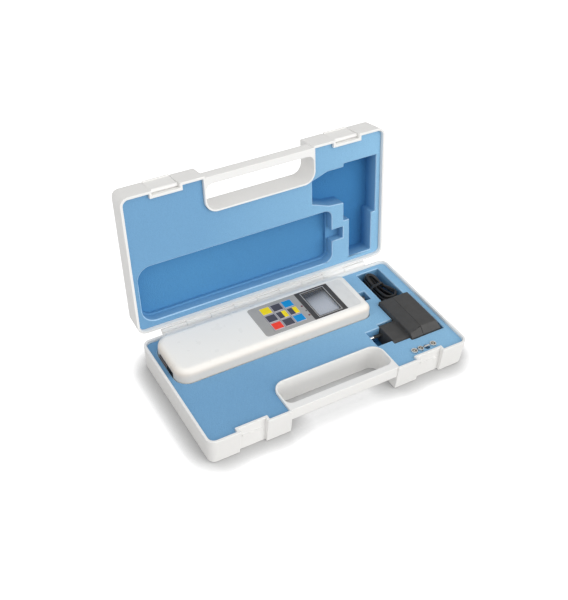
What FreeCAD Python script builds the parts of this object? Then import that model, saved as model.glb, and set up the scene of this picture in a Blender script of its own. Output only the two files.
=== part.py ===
import FreeCAD, Part
import math
import os
from FreeCAD import Vector

# Force gauge set: a hand-held force gauge, its mains adapter and four tips in a fitted plastic case.
# Millimetres. X runs along the case, Y from the handle to the hinge, Z up.
# The origin is the centre of the base's underside. The lid is drawn standing open.

# Force gauge housing
gauge_length = 235.0
gauge_width = 65.5
gauge_height = 36.0
gauge_wall = 2.5
gauge_left_corner = 15.0
gauge_right_corner = 9.0
gauge_top_round = 7.5
gauge_under_round = 4.0
gauge_parting = 15.0          # height of the joint line above the underside
gauge_joint_gap = 0.15
tongue_height = 1.5
tongue_wall = 1.0

# Mains adapter body
adapter_depth = 42.0          # along X, from the plug face to the back
adapter_length = 65.0
adapter_height = 28.7
adapter_wall = 2.2
adapter_parting = 15.0        # from the plug face to the joint of its two shells

# Case
case_wall = 3.0
case_floor = 3.0
case_draft = 2.0              # each side leans in by this much from the rim to the floor
case_corner = 9.5
case_edge = 1.6
half_height = 31.5
lid_height = 29.0
rim_gap = 0.3                 # between the two rims when the lid is shut
end_margin = 6.5              # foam between an end wall and what lies next to it
back_margin = 8.0
stud_room = 17.0              # from the gauge's nose to the adapter
lid_angle = 98.0              # how far the lid stands open

# Hand opening and grip
grip_end = 92.5               # from the case's end to the hand opening
grip_depth = 41.0             # from the front face to the back of the opening
grip_corner = 12.0
grip_lip = 2.0
grip_to_gauge = 42.5
bar_width = 8.5
bar_height = 16.5
bar_setback = 2.0
bar_round = 4.0
bar_end_round = 8.0           # where the bar's inner face runs into the ends of the opening

# Latches
latch_block = 28.0            # from the hand opening to the latch recess
recess_width = 30.0
recess_depth = 5.5
latch_gap = 0.3
latch_thickness = 2.4
latch_length = 21.5
latch_knuckle = 2.2
latch_pin_radius = 1.0
latch_pin_up = 6.0            # from the lid's rim to the latch pin
latch_hook = 1.2
latch_hook_height = 2.0
latch_pin_bite = 2.4
catch_proud = 1.1
catch_height = 2.0
catch_width = 22.0

# Hinge
hinge_out = 4.0               # from the back face to the hinge pin
hinge_length = 260.0
hinge_knuckles = 9
knuckle_radius = 3.0
knuckle_gap = 0.4
hinge_pin_radius = 1.2
stop_reach = 3.5
pin_gap = 0.05                # running clearance of a pin in its bore

# Foam
foam_gap = 0.3
foam_drop = 3.0               # base foam below its rim
lid_foam_drop = 3.8
foam_under = 4.5              # foam left under the gauge
seat_gap = 0.3                # between a piece and the pocket floor that it lies on
pocket_gap = 0.6
lid_pocket_room = 3.0         # from the gauge's face to the ledge in the lid
lid_pocket_step = 4.0
lid_pocket_inset = 2.0
lid_foam_left = 1.5           # foam left behind the adapter's pocket in the lid
lid_adapter_back = 5.0        # room behind the adapter in its lid pocket
pocket_corner = 1.0
nose_notch_end = 1.0          # foam left between the nose's notch and the line of the adapter
lid_plug_room = 3.0           # beyond the tips of the mains pins
lid_plug_overlap = 1.0
lid_plug_front = 10.5         # the plug pocket's narrow end, front and back of the plug's middle
lid_plug_back = 17.5
lid_plug_front_run = 20.0     # along X, how far its front and back sides slant
lid_plug_back_run = 22.0
lid_plug_back_wide = 25.5     # where the back slant ends, and where the pocket ends
lid_plug_back_end = 27.5

# Face of the gauge
face_to_nose = 9.0            # from the label field's end to the gauge's right end
panel_length = 60.0
panel_width = 48.0
panel_corner = 4.0
panel_thickness = 0.6
key_start = 18.6              # from the panel's left edge to the centre of the first column of keys
key_rows = 3
key_columns = 3
key_pitch_x = 13.6
key_pitch_y = 13.1
key_length = 12.2
key_width = 11.4
key_corner = 1.0
key_proud = 0.4
key_sunk = 1.2
key_pocket = 1.9
key_gap = 0.15
key_stem_radius = 2.0
key_travel = 0.5
key_stem_gap = 0.05
bezel_length = 42.0
bezel_thickness = 1.2
window_length = 27.0
window_width = 40.0
window_round = 1.0
window_ledge = 1.5
lens_sunk = 0.2
label_length = 18.0
label_thickness = 0.3
face_joint = 0.1              # between neighbouring plates on the face

# Inside the gauge
board_before_panel = 19.0     # how far the board reaches past the panel's left edge
board_to_nose = 17.0
board_width = 54.0
board_thickness = 1.6
board_drop = 9.2              # from the gauge's face to the board's upper face
board_post_inset = 4.0
board_screw_bite = 5.0
switch_side = 6.0
switch_height = 3.0
display_depth = 6.4
post_radius = 3.0
screw_radius = 1.2
screw_head_radius = 2.4
screw_head_height = 1.6
screw_gap = 0.1
housing_post_radius = 4.0
housing_screw_length = 24.0
housing_post_inset = 12.0     # from the left end
housing_post_nose = 10.0      # from the right end
housing_post_side = 9.0
cell_length = 50.0
cell_width = 24.0
cell_height = 17.0
cell_to_nose = 16.0
cell_hole_radius = 4.5
cell_hole_pitch = 18.0
cell_slot = 2.0
cell_seat_length = 16.0
cell_screw_radius = 2.0
cell_screw_head_radius = 3.5
cell_screw_head_height = 3.0
cell_screw_sunk = 0.4
shaft_radius = 4.0
shaft_spigot_radius = 2.4
shaft_spigot_length = 8.0
shaft_gap = 0.3               # free travel of the shaft each way, with some to spare
stud_radius = 3.0             # the thread of an M6 stud
stud_length = 10.0
stud_end_round = 0.5
stud_height = 16.2            # above the gauge's underside
bush_radius = 6.0
bush_flange_radius = 6.8
bush_flange = 1.5
bush_inside = 3.0             # how far the bush stands in past the wall
battery_radius = 7.2
battery_length = 50.0
battery_button_radius = 2.8
battery_button = 1.2
battery_count = 4
battery_pitch = 14.6
battery_start = 20.0
battery_lift = 1.6
tray_wall = 1.2
tray_floor = 1.3
tray_gap = 0.4
hatch_length = 56.0
hatch_width = 40.0
hatch_thickness = 1.6
hatch_ledge = 2.0
hatch_corner = 3.0
groove_inset = 7.0            # the hatch's finger groove, from the hatch's left edge
groove_radius = 1.2
groove_half_length = 8.0
groove_under = 0.5            # its axis below the hatch
socket_panel_width = 33.0
socket_panel_height = 10.0
socket_panel_up = 15.8
socket_panel_proud = 0.3
socket_rim_proud = 0.1        # sockets beyond their panel
socket_panel_corner = 1.5
socket_depth = 9.0
socket_floor = 2.0
socket_pin_sunk = 1.0
power_socket_radius = 3.8
power_socket_bore = 2.8
power_pin_radius = 0.8
power_socket_margin = 1.0     # from the panel's front end
data_socket_width = 17.0
data_socket_height = 6.0
data_socket_wall = 1.0
data_socket_floor = 3.0
data_socket_margin = 1.5      # from the panel's back end
data_pin_radius = 0.4
data_pins = 5

# Plug end of the adapter
collar_length = 20.0
collar_width = 33.0
collar_height = 19.5
collar_front = 4.0            # from the adapter's front end to the collar
collar_lift = 1.2
collar_round = 5.0
mains_pin_radius = 2.0
mains_pin_pitch = 19.0
mains_pin_length = 18.5
mains_pin_bare = 9.0
mains_core_radius = 1.2
mains_sleeve_radius = 1.85
mains_pin_seat = 10.0
mains_pin_round = 1.0
adapter_chamfer_x = 6.0
adapter_chamfer_z = 15.0
adapter_front_slope = 7.0     # the 45 degree slopes at the top of its two ends
adapter_back_slope = 4.5
adapter_ridge = 3.0
adapter_round = 1.6
adapter_sharp = 0.2           # the ridge, and corners of the hollow
adapter_board_side = 1.0      # between the board and the walls
adapter_board_end = 0.5
transformer_left = 6.0        # from the wall
transformer_front = 8.0
core_length = 24.0
core_width = 28.0
core_height = 12.0
core_lift = 2.0
winding_inset = 4.0
winding_proud = 4.0
winding_height = 16.0

# Cord, wound into a hank behind the adapter
cord_radius = 1.5
cord_room = 55.0              # from the adapter's back to the end of its cord's pocket
cord_pocket_width = 30.0
cord_pocket_left = 7.0
hank_front_width = 18.0
hank_back_width = 13.0
hank_height = 22.5
hank_fan = 27.0
hank_fan_depth = 6.5
hank_start = 3.5
hank_side_gap = 1.2
hank_corner = 2.0
hank_end_corner = 5.0
hank_fan_drop = 2.0           # the fan below the hank's top
hank_length = 48.5
relief_length = 6.5
relief_radius = 2.8
relief_end_radius = 2.0
relief_gap = 0.4
cord_exit_x = 17.0            # from the adapter's plug face
cord_exit_height = 5.0        # above the adapter's underside
cord_run = 3.2
tie_width = 3.0
tie_thickness = 0.6
tie_place = 0.55              # share of the hank's length
tie_gap = 0.15
tie_room = 0.4
tie_under = 0.25
tie_corner = 1.0
plug_radius = 4.2
plug_length = 20.0
plug_round = 1.0
plug_bore_radius = 1.375
plug_bore_floor = 1.0
plug_tip_radius = 2.75
plug_tip_length = 9.5

# Tips standing in the foam
tip_first = 9.2               # from the adapter's plug face back to the first tip
tip_pitch = 8.2
tip_from_front = 16.2
tip_radius = 3.5
tip_length = 18.0
tip_proud = 1.5
tip_bore_radius = 2.5
tip_bore_depth = 8.0
tip_cone_length = 6.0
tip_cone_end = 0.3
tip_waist = 0.6               # the neck's radius less than the tip's
tip_hex_height = 5.0
tip_blade = 1.8
tip_blade_height = 6.0
tip_notch = 2.4
tip_hole_gap = 0.3

# Making
past = 1.0                    # how far a cutting body runs past what it cuts
touching = 1e-4

# Places that follow from the sizes above
case_length = 2 * (case_wall + end_margin) + gauge_length + stud_room + adapter_depth
case_width = 2 * case_wall + back_margin + gauge_width + grip_to_gauge + grip_lip + grip_depth - case_wall
front_y = -case_width / 2
back_y = case_width / 2
gauge_left = -case_length / 2 + case_wall + end_margin
gauge_right = gauge_left + gauge_length
gauge_back = back_y - case_wall - back_margin
gauge_front = gauge_back - gauge_width
gauge_mid = (gauge_front + gauge_back) / 2
label_end = gauge_right - face_to_nose
panel_left = label_end - label_length - bezel_length - panel_length
bezel_left = panel_left + panel_length
label_left = bezel_left + bezel_length
board_left = panel_left - board_before_panel
board_right = gauge_right - board_to_nose
gauge_low = case_floor + foam_under + seat_gap
gauge_top = gauge_low + gauge_height
gauge_joint_z = gauge_low + gauge_parting
adapter_left = gauge_right + stud_room
adapter_right = adapter_left + adapter_depth
cord_pocket_back = gauge_back + 2.0
adapter_back = cord_pocket_back - cord_room
adapter_front = adapter_back - adapter_length
adapter_low = gauge_low
adapter_top = adapter_low + adapter_height
grip_back = front_y + grip_depth
hinge_y = back_y + hinge_out
hinge_z = half_height + rim_gap / 2
lid_under = half_height - lid_height     # the lid's outer face, before it is flipped
grip_length = case_length - 2 * grip_end
latch_x = grip_length / 2 + latch_block + recess_width / 2
recess_floor_y = front_y + recess_depth
latch_y = recess_floor_y - latch_gap - latch_knuckle
latch_z = half_height + rim_gap + latch_pin_up
stud_z = gauge_low + stud_height
board_z = gauge_top - board_drop
foam_top = half_height - foam_drop
pocket_floor = gauge_low - seat_gap


def rounded_wire(corners):
    # a closed line through corners, each a point and the radius of the arc that rounds it
    edges = []
    ends = []
    count = len(corners)
    for i, (point, radius) in enumerate(corners):
        before = (corners[i - 1][0] - point).normalize()
        after = (corners[(i + 1) % count][0] - point).normalize()
        if radius <= 0:
            ends.append((point, point))
            continue
        half = before.getAngle(after) / 2
        reach = radius / math.tan(half)
        middle = (before + after).normalize()
        start = point + before * reach
        end = point + after * reach
        crown = point + middle * (radius / math.sin(half) - radius)
        edges.append(Part.Arc(start, crown, end).toShape())
        ends.append((start, end))
    for i in range(count):
        leave = ends[i][1]
        arrive = ends[(i + 1) % count][0]
        if leave.distanceToPoint(arrive) > touching:
            edges.append(Part.LineSegment(leave, arrive).toShape())
    return Part.Wire(Part.sortEdges(edges)[0])


def outline_z(corners, z):
    return rounded_wire([(Vector(x, y, z), r) for x, y, r in corners])


def prism_z(corners, z_low, z_high):
    return Part.Face(outline_z(corners, z_low)).extrude(Vector(0, 0, z_high - z_low))


def prism_x(corners, x_low, x_high):
    wire = rounded_wire([(Vector(x_low, y, z), r) for y, z, r in corners])
    return Part.Face(wire).extrude(Vector(x_high - x_low, 0, 0))


def prism_y(corners, y_low, y_high):
    wire = rounded_wire([(Vector(x, y_low, z), r) for x, z, r in corners])
    return Part.Face(wire).extrude(Vector(0, y_high - y_low, 0))


def rectangle(low_a, high_a, low_b, high_b, radius=0.0):
    return [(low_a, low_b, radius), (high_a, low_b, radius), (high_a, high_b, radius), (low_a, high_b, radius)]


def block(x_low, x_high, y_low, y_high, z_low, z_high):
    return Part.makeBox(x_high - x_low, y_high - y_low, z_high - z_low, Vector(x_low, y_low, z_low))


def rod(radius, start, end):
    return Part.makeCylinder(radius, start.distanceToPoint(end), start, end - start)


def rod_x(radius, x_low, x_high, y, z):
    return rod(radius, Vector(x_low, y, z), Vector(x_high, y, z))


def rod_z(radius, x, y, z_low, z_high):
    return rod(radius, Vector(x, y, z_low), Vector(x, y, z_high))


def round_edges(shape, radius, picks):
    return shape.makeFillet(radius, [edge for edge in shape.Edges if picks(edge)])


def lies_at(height):
    # picks the edges that lie flat at one height
    return lambda edge: abs(edge.BoundBox.ZMin - height) + abs(edge.BoundBox.ZMax - height) < touching


def opened(shape):
    # turns a piece of the shut lid to where it stands open
    turned = shape.copy()
    turned.rotate(Vector(0, hinge_y, hinge_z), Vector(1, 0, 0), -lid_angle)
    return turned


def flipped(shape):
    # the same form on the other side of the plane where the halves meet
    return shape.mirror(Vector(0, 0, hinge_z), Vector(0, 0, 1))


def save(name, *shapes):
    shape = shapes[0] if len(shapes) == 1 else Part.makeCompound(list(shapes))
    shape.exportStep(os.path.join("parts", name + ".step"))


# Case halves

def case_corners(inset, z, under):
    lean = case_draft * (half_height - z) / (half_height - under)
    reach_x = case_length / 2 - lean - inset
    reach_y = case_width / 2 - lean - inset
    return rectangle(-reach_x, reach_x, -reach_y, reach_y, case_corner - lean - inset)


def case_block(inset, z_low, z_high, under):
    # under is the height of the outer face that the sides lean in towards
    low = outline_z(case_corners(inset, z_low, under), z_low)
    high = outline_z(case_corners(inset, z_high, under), z_high)
    return Part.makeLoft([low, high], True, True)


def hand_opening(wider):
    side = grip_length / 2 + wider
    back = grip_back + wider
    front = front_y - case_wall
    corner = grip_corner + wider
    return [(-side, front, 0), (side, front, 0), (side, back, corner), (-side, back, corner)]


def latch_recess(side, wider, z_low, z_high):
    reach = recess_width / 2 + wider
    middle = side * latch_x
    return block(middle - reach, middle + reach, front_y - case_wall, recess_floor_y + wider, z_low, z_high)


def handle_bar():
    outer = front_y + bar_setback
    inner = outer + bar_width
    low = half_height - bar_height
    corners = [(outer, low, bar_round), (inner, low, bar_round), (inner, half_height, 0), (outer, half_height, 0)]
    reach = grip_length / 2 + grip_lip / 2
    bar = prism_x(corners, -reach, reach)
    for side in (-1, 1):
        bar = bar.fuse(bar_end(side, inner, low + bar_round))
    return bar


def bar_end(side, inner, low):
    # fills the corner between the bar and the end of the opening, down to where the bar turns under
    end = side * grip_length / 2
    near = end - side * bar_end_round
    far = end + side * grip_lip / 2
    corner = block(min(near, far), max(near, far), inner - past, inner + bar_end_round, low, half_height)
    hollow = rod_z(bar_end_round, near, inner + bar_end_round, low - past, half_height + past)
    return corner.cut(hollow)


def without_fittings(body, wider, z_low, z_high):
    # takes out the room that the hand opening and the latch recesses need, walls included
    body = body.cut(prism_z(hand_opening(grip_lip + wider), z_low, z_high))
    for side in (-1, 1):
        body = body.cut(latch_recess(side, case_wall + wider, z_low, z_high))
    return body


def case_half(under):
    outer = round_edges(case_block(0.0, under, half_height, under), case_edge, lies_at(under))
    room = case_block(case_wall, under + case_floor, half_height, under)
    cavity = without_fittings(room, 0.0, 0.0, half_height)
    shell = outer.cut(cavity)
    shell = shell.cut(prism_z(hand_opening(0.0), -case_wall, half_height + case_wall))
    for side in (-1, 1):
        shell = shell.cut(latch_recess(side, 0.0, -case_wall, half_height + case_wall))
    return shell.fuse(handle_bar())


def knuckle_spans(first):
    pitch = (hinge_length + knuckle_gap) / hinge_knuckles
    for i in range(first, hinge_knuckles, 2):
        start = -hinge_length / 2 + i * pitch
        yield start, start + pitch - knuckle_gap


def knuckle(start, end):
    barrel = rod_x(knuckle_radius, start, end, hinge_y, hinge_z)
    arm = block(start, end, back_y - case_wall / 2, hinge_y, half_height - knuckle_radius, half_height)
    return barrel.fuse(arm)


def hinge_bore():
    reach = hinge_length / 2 + knuckle_gap
    return rod_x(hinge_pin_radius + pin_gap, -reach, reach, hinge_y, hinge_z)


def catch(side):
    # the rib in the base's recess that the latch's hook goes under
    middle = side * latch_x
    top = latch_z - latch_length + latch_hook_height + latch_gap + catch_height
    return block(
        middle - catch_width / 2, middle + catch_width / 2,
        recess_floor_y - catch_proud, recess_floor_y + case_wall / 2,
        top - catch_height, top,
    )


def base_shell():
    shell = case_half(0.0)
    for start, end in knuckle_spans(0):
        shell = shell.fuse(knuckle(start, end))
    for side in (-1, 1):
        shell = shell.fuse(catch(side))
    return shell.cut(hinge_bore()).removeSplitter()


def stop_lug(start, end):
    # rests on the base's back wall when the lid stands open, so it is drawn there and turned shut
    lug = block(start, end, back_y + seat_gap, hinge_y, hinge_z - knuckle_radius - stop_reach / 2, hinge_z - pin_gap)
    lug.rotate(Vector(0, hinge_y, hinge_z), Vector(1, 0, 0), lid_angle)
    return lug


def latch_pin_holes():
    bores = []
    for side in (-1, 1):
        reach = recess_width / 2 + latch_pin_bite + pin_gap
        middle = side * latch_x
        bores.append(rod_x(latch_pin_radius + pin_gap, middle - reach, middle + reach, latch_y, latch_z))
    return Part.makeCompound(bores)


def lid_shell():
    shell = case_half(lid_under)
    for start, end in knuckle_spans(1):
        shell = shell.fuse(knuckle(start, end))
    shell = flipped(shell)
    for start, end in knuckle_spans(1):
        shell = shell.fuse(stop_lug(start, end))
    shell = shell.cut(hinge_bore()).cut(latch_pin_holes())
    return opened(shell.removeSplitter())


def hinge_pin():
    return rod_x(hinge_pin_radius, -hinge_length / 2, hinge_length / 2, hinge_y, hinge_z)


def latch(side):
    # folded back into the lid's recess, hook outwards
    middle = side * latch_x
    left = middle - recess_width / 2 + latch_gap
    right = middle + recess_width / 2 - latch_gap
    inner = latch_y + latch_thickness / 2
    outer = latch_y - latch_thickness / 2
    tip = latch_z + latch_length
    plate = block(left, right, outer, inner, latch_z, tip)
    hook = block(left, right, outer - latch_hook, inner, tip - latch_hook_height, tip)
    barrel = rod_x(latch_knuckle, left, right, latch_y, latch_z)
    flap = plate.fuse(hook).fuse(barrel).removeSplitter()
    bore = rod_x(latch_pin_radius + pin_gap, left, right, latch_y, latch_z)
    return opened(flap.cut(bore))


def latch_pins():
    pins = []
    for side in (-1, 1):
        reach = recess_width / 2 + latch_pin_bite
        middle = side * latch_x
        pins.append(opened(rod_x(latch_pin_radius, middle - reach, middle + reach, latch_y, latch_z)))
    return pins


# Foam

def gauge_outline(wider):
    left = gauge_left - wider
    right = gauge_right + wider
    front = gauge_front - wider
    back = gauge_back + wider
    return [
        (left, front, gauge_left_corner + wider), (right, front, gauge_right_corner + wider),
        (right, back, gauge_right_corner + wider), (left, back, gauge_left_corner + wider),
    ]


def nose_notch():
    reach = bush_flange_radius + pocket_gap
    right = adapter_left - nose_notch_end
    return rectangle(gauge_right - gauge_right_corner, right, gauge_mid - reach, gauge_mid + reach)


def adapter_outline(wider, behind=0.0):
    left = adapter_left - wider
    right = adapter_right + wider
    return rectangle(left, right, adapter_front - wider, adapter_back + wider + behind, pocket_corner)


def collar_mid():
    return adapter_front + collar_front + collar_width / 2


def collar_outline(wider):
    reach = collar_width / 2 + wider
    left = adapter_left - collar_length - wider
    return rectangle(left, adapter_left + wider, collar_mid() - reach, collar_mid() + reach)


def pins_outline(wider):
    reach = mains_pin_pitch / 2 + mains_pin_radius + wider
    left = adapter_left - collar_length - mains_pin_length - wider
    right = adapter_left - collar_length + wider
    return rectangle(left, right, collar_mid() - reach, collar_mid() + reach)


def cord_pocket():
    left = adapter_left + cord_pocket_left
    return rectangle(left, left + cord_pocket_width, adapter_back - past, cord_pocket_back, pocket_corner)


def tip_places():
    y = front_y + tip_from_front
    return [(adapter_left - tip_first + i * tip_pitch, y) for i in range(4)]


def base_foam():
    low = case_floor + foam_gap
    high = half_height
    foam = case_block(case_wall + foam_gap, low, foam_top, 0.0)
    foam = without_fittings(foam, foam_gap, low - past, high)
    pockets = (
        gauge_outline(pocket_gap), nose_notch(), adapter_outline(pocket_gap), collar_outline(pocket_gap),
        pins_outline(pocket_gap), cord_pocket(),
    )
    for corners in pockets:
        foam = foam.cut(prism_z(corners, pocket_floor, high))
    for x, y in tip_places():
        low_tip = foam_top + tip_proud - tip_length - seat_gap
        foam = foam.cut(rod_z(tip_radius + tip_hole_gap, x, y, low_tip, high))
    return foam


def lid_plug_pocket():
    # wider than the plug, with slanted sides that run down to its pins
    left = adapter_left - collar_length - mains_pin_length - lid_plug_room
    right = adapter_left + lid_plug_overlap
    front = collar_outline(pocket_gap)[0][1]
    middle = collar_mid()
    return [
        (left, middle - lid_plug_front, 0), (left + lid_plug_front_run, front, 0), (right, front, 0),
        (right, middle + lid_plug_back_end, 0), (left + lid_plug_back_run, middle + lid_plug_back_wide, 0),
        (left, middle + lid_plug_back, 0),
    ]


def lid_foam():
    # drawn in the base's place, then flipped into the lid
    low = lid_under + case_floor + foam_gap
    high = half_height
    ledge = half_height + rim_gap - (gauge_top - half_height) - lid_pocket_room
    foam = case_block(case_wall + foam_gap, low, half_height - lid_foam_drop, lid_under)
    foam = without_fittings(foam, foam_gap, low - past, high)
    foam = foam.cut(prism_z(gauge_outline(pocket_gap), ledge, high))
    foam = foam.cut(prism_z(gauge_outline(pocket_gap - lid_pocket_inset), ledge - lid_pocket_step, high))
    foam = foam.cut(prism_z(nose_notch(), ledge, high))
    deep = low + lid_foam_left
    for corners in (adapter_outline(pocket_gap, lid_adapter_back), lid_plug_pocket(), cord_pocket()):
        foam = foam.cut(prism_z(corners, deep, high))
    return opened(flipped(foam))


# Gauge housing

def gauge_body(inset, z_low, z_high, top_round, under_round):
    body = prism_z(gauge_outline(-inset), z_low, z_high)
    body = round_edges(body, top_round, lies_at(z_high))
    return round_edges(body, under_round, lies_at(z_low))


def gauge_skin():
    outer = gauge_body(0.0, gauge_low, gauge_top, gauge_top_round, gauge_under_round)
    inner = gauge_body(
        gauge_wall, gauge_low + gauge_wall, gauge_top - gauge_wall,
        gauge_top_round - gauge_wall, gauge_under_round - gauge_wall,
    )
    return outer.cut(inner)


def gauge_slab(z_low, z_high):
    return block(gauge_left - past, gauge_right + past, gauge_front - past, gauge_back + past, z_low, z_high)


def housing_posts():
    right = gauge_right - housing_post_nose
    left = gauge_left + housing_post_inset
    front = gauge_front + housing_post_side
    back = gauge_back - housing_post_side
    return [(left, front), (left, back), (right, front), (right, back)]


def board_posts():
    left = board_left + board_post_inset
    right = board_right - board_post_inset
    reach = board_width / 2 - board_post_inset
    return [(x, gauge_mid + side * reach) for x in (left, right) for side in (-1, 1)]


def stud_bore(radius):
    start = gauge_right - gauge_wall - bush_inside - past
    return rod_x(radius, start, gauge_right + past, gauge_mid, stud_z)


def hatch_corners(narrower):
    middle = gauge_left + battery_start + battery_length / 2
    reach_x = hatch_length / 2 - narrower
    reach_y = hatch_width / 2 - narrower
    return rectangle(middle - reach_x, middle + reach_x, gauge_mid - reach_y, gauge_mid + reach_y, hatch_corner)


def gauge_rear_shell():
    shell = gauge_skin().common(gauge_slab(gauge_low - past, gauge_joint_z))
    ring_outer = gauge_outline(-gauge_wall - gauge_joint_gap)
    ring_inner = gauge_outline(-gauge_wall - gauge_joint_gap - tongue_wall)
    ring_root = gauge_outline(-gauge_wall / 2)
    ring_low = gauge_joint_z - 2 * tongue_height
    ring = prism_z(ring_outer, ring_low, gauge_joint_z + tongue_height)
    ring = ring.fuse(prism_z(ring_root, ring_low, gauge_joint_z - tongue_height))
    ring = ring.cut(prism_z(ring_inner, ring_low, gauge_joint_z + tongue_height))
    shell = shell.fuse(ring)
    for x, y in housing_posts():
        shell = shell.fuse(rod_z(housing_post_radius, x, y, gauge_low + gauge_wall / 2, gauge_joint_z))
    for x, y in housing_posts():
        head = screw_head_height + screw_gap
        shell = shell.cut(rod_z(screw_head_radius + screw_gap, x, y, gauge_low - past, gauge_low + head))
        shell = shell.cut(rod_z(screw_radius + screw_gap, x, y, gauge_low, gauge_joint_z + past))
    shell = shell.cut(prism_z(hatch_corners(0.0), gauge_low - past, gauge_low + hatch_thickness))
    shell = shell.cut(prism_z(hatch_corners(hatch_ledge), gauge_low - past, gauge_low + gauge_wall + past))
    shell = shell.cut(stud_bore(bush_radius + screw_gap))
    return shell.removeSplitter()


def battery_hatch():
    plate = prism_z(hatch_corners(face_joint), gauge_low, gauge_low + hatch_thickness - face_joint)
    return plate.cut(finger_groove())


def finger_groove():
    x = gauge_left + battery_start + battery_length / 2 - hatch_length / 2 + groove_inset
    z = gauge_low - groove_under
    start = Vector(x, gauge_mid - groove_half_length, z)
    return rod(groove_radius, start, Vector(x, gauge_mid + groove_half_length, z))


def panel_corners(narrower):
    left = panel_left + narrower
    right = bezel_left - narrower
    reach = panel_width / 2 - narrower
    return [
        (left, gauge_mid - reach, panel_corner), (right, gauge_mid - reach, 0),
        (right, gauge_mid + reach, 0), (left, gauge_mid + reach, panel_corner),
    ]


def bezel_corners(narrower):
    reach = panel_width / 2 - narrower
    return rectangle(bezel_left + narrower, label_left - narrower, gauge_mid - reach, gauge_mid + reach)


def label_corners(narrower):
    left = label_left + narrower
    right = label_end - narrower
    reach = panel_width / 2 - narrower
    return [
        (left, gauge_mid - reach, 0), (right, gauge_mid - reach, panel_corner),
        (right, gauge_mid + reach, panel_corner), (left, gauge_mid + reach, 0),
    ]


def window_corners(wider):
    middle = (bezel_left + label_left) / 2
    reach_x = window_length / 2 + wider
    reach_y = window_width / 2 + wider
    return rectangle(
        middle - reach_x, middle + reach_x, gauge_mid - reach_y, gauge_mid + reach_y, window_round + max(wider, 0),
    )


def key_places():
    for row in range(key_rows):
        for column in range(key_columns):
            x = panel_left + key_start + column * key_pitch_x
            y = gauge_mid + (row - (key_rows - 1) / 2) * key_pitch_y
            yield row, column, x, y


def key_corners(x, y, wider):
    reach_x = key_length / 2 + wider
    reach_y = key_width / 2 + wider
    return rectangle(x - reach_x, x + reach_x, y - reach_y, y + reach_y, key_corner + max(wider, 0))


def socket_corners(narrower):
    low = gauge_low + socket_panel_up + narrower
    high = low + socket_panel_height - 2 * narrower
    reach = socket_panel_width / 2 - narrower
    return rectangle(gauge_mid - reach, gauge_mid + reach, low, high, socket_panel_corner)


def gauge_front_shell():
    joint = gauge_joint_z + gauge_joint_gap
    shell = gauge_skin().common(gauge_slab(joint, gauge_top + past))
    for x, y in housing_posts():
        shell = shell.fuse(rod_z(housing_post_radius, x, y, joint, gauge_top - gauge_wall / 2))
    for x, y in board_posts():
        shell = shell.fuse(rod_z(post_radius, x, y, board_z, gauge_top - gauge_wall / 2))
    for x, y in housing_posts():
        reach = gauge_low + housing_screw_length + screw_gap
        shell = shell.cut(rod_z(screw_radius + screw_gap, x, y, joint - past, reach))
    for x, y in board_posts():
        reach = board_z + board_screw_bite + screw_gap
        shell = shell.cut(rod_z(screw_radius + screw_gap, x, y, board_z - past, reach))
    shell = shell.cut(prism_z(panel_corners(0.0), gauge_top - panel_thickness, gauge_top + past))
    shell = shell.cut(prism_z(bezel_corners(0.0), gauge_top - bezel_thickness, gauge_top + past))
    shell = shell.cut(prism_z(label_corners(0.0), gauge_top - label_thickness, gauge_top + past))
    opening = window_corners(window_ledge)
    shell = shell.cut(prism_z(opening, gauge_top - gauge_wall - past, gauge_top))
    for row, column, x, y in key_places():
        shell = shell.cut(prism_z(key_corners(x, y, key_gap), gauge_top - key_pocket, gauge_top))
        shell = shell.cut(rod_z(key_stem_radius + key_gap, x, y, gauge_top - gauge_wall - past, gauge_top))
    shell = shell.cut(prism_x(socket_corners(0.0), gauge_left - past, gauge_left + gauge_wall + past))
    shell = shell.cut(stud_bore(bush_radius + screw_gap))
    return shell.removeSplitter()


def keypad_panel():
    panel = prism_z(panel_corners(face_joint), gauge_top - panel_thickness, gauge_top)
    for row, column, x, y in key_places():
        panel = panel.cut(prism_z(key_corners(x, y, key_gap), gauge_top - past, gauge_top + past))
    return panel


def key(x, y):
    cap = prism_z(key_corners(x, y, 0.0), gauge_top - key_sunk, gauge_top + key_proud)
    cap = round_edges(cap, key_proud / 2, lies_at(gauge_top + key_proud))
    low = board_z + switch_height + key_travel + key_stem_gap
    return cap.fuse(rod_z(key_stem_radius, x, y, low, gauge_top - key_sunk))


def display_bezel():
    plate = prism_z(bezel_corners(face_joint), gauge_top - bezel_thickness, gauge_top)
    return plate.cut(prism_z(window_corners(0.0), gauge_top - bezel_thickness - past, gauge_top + past))


def display_lens():
    return prism_z(window_corners(-face_joint / 2), gauge_top - bezel_thickness, gauge_top - lens_sunk)


def display_module():
    return prism_z(window_corners(window_ledge - key_gap), board_z, board_z + display_depth)


def end_label():
    return prism_z(label_corners(face_joint), gauge_top - label_thickness, gauge_top)


# Inside the gauge

def main_board():
    reach = board_width / 2
    low = board_z - board_thickness
    board = block(board_left, board_right, gauge_mid - reach, gauge_mid + reach, low, board_z)
    for x, y in board_posts():
        board = board.cut(rod_z(screw_radius + screw_gap, x, y, low - past, board_z + past))
    return board


def key_switches():
    half = switch_side / 2
    switches = []
    for row, column, x, y in key_places():
        switches.append(block(x - half, x + half, y - half, y + half, board_z, board_z + switch_height))
    return switches


def screw_up(x, y, seat, length):
    # a screw that goes upwards, with its head below the seat
    head = rod_z(screw_head_radius, x, y, seat - screw_head_height, seat)
    return head.fuse(rod_z(screw_radius, x, y, seat, seat + length))


def board_screws():
    seat = board_z - board_thickness
    return [screw_up(x, y, seat, board_thickness + board_screw_bite) for x, y in board_posts()]


def housing_screws():
    seat = gauge_low + screw_head_height
    return [screw_up(x, y, seat, housing_screw_length - screw_head_height) for x, y in housing_posts()]


def cell_end():
    return gauge_right - cell_to_nose


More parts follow.
